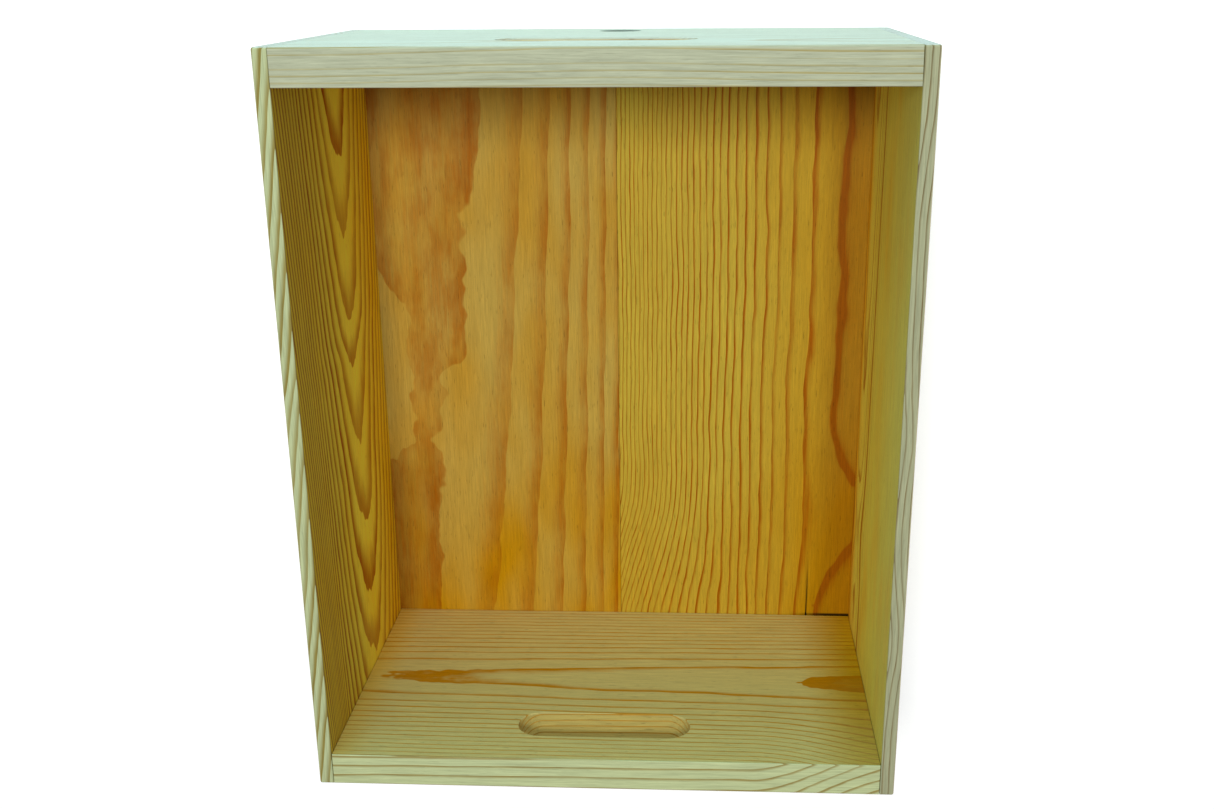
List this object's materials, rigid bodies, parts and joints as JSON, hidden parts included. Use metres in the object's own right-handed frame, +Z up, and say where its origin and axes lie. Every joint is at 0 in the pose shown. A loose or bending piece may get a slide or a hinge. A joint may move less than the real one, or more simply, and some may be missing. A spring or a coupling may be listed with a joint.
{
  "type": "beehive box",
  "caption": "Open-topped pine beehive box with thick end walls, thin side walls, a boarded floor, hand slots through both ends and a round bee entrance low in the front.",
  "frame": {"origin": "centre of the underside, at the height of the surface it stands on", "axes": "+Z up through the open top; -Y out of the front wall, which has the bee entrance; +X towards the right as seen from the front"},
  "size_m": [0.413, 0.512, 0.253],
  "materials": {
    "end_wall_pine": "planed, unfinished, matte",
    "side_wall_pine": "planed, unfinished, matte",
    "floor_pine": "planed, unfinished, satin",
    "nail_steel": "bright wire"
  },
  "bodies": {
    "root": {"front_wall": "end_wall_pine", "rear_wall": "end_wall_pine", "left_wall": "side_wall_pine", "right_wall": "side_wall_pine", "floor_board_left": "floor_pine", "floor_board_right": "floor_pine", "corner_nails_front_left": "nail_steel", "corner_nails_front_right": "nail_steel", "corner_nails_rear_left": "nail_steel", "corner_nails_rear_right": "nail_steel", "floor_nails_front": "nail_steel", "floor_nails_rear": "nail_steel", "floor_nails_left": "nail_steel", "floor_nails_right": "nail_steel"}
  },
  "joints": []
}
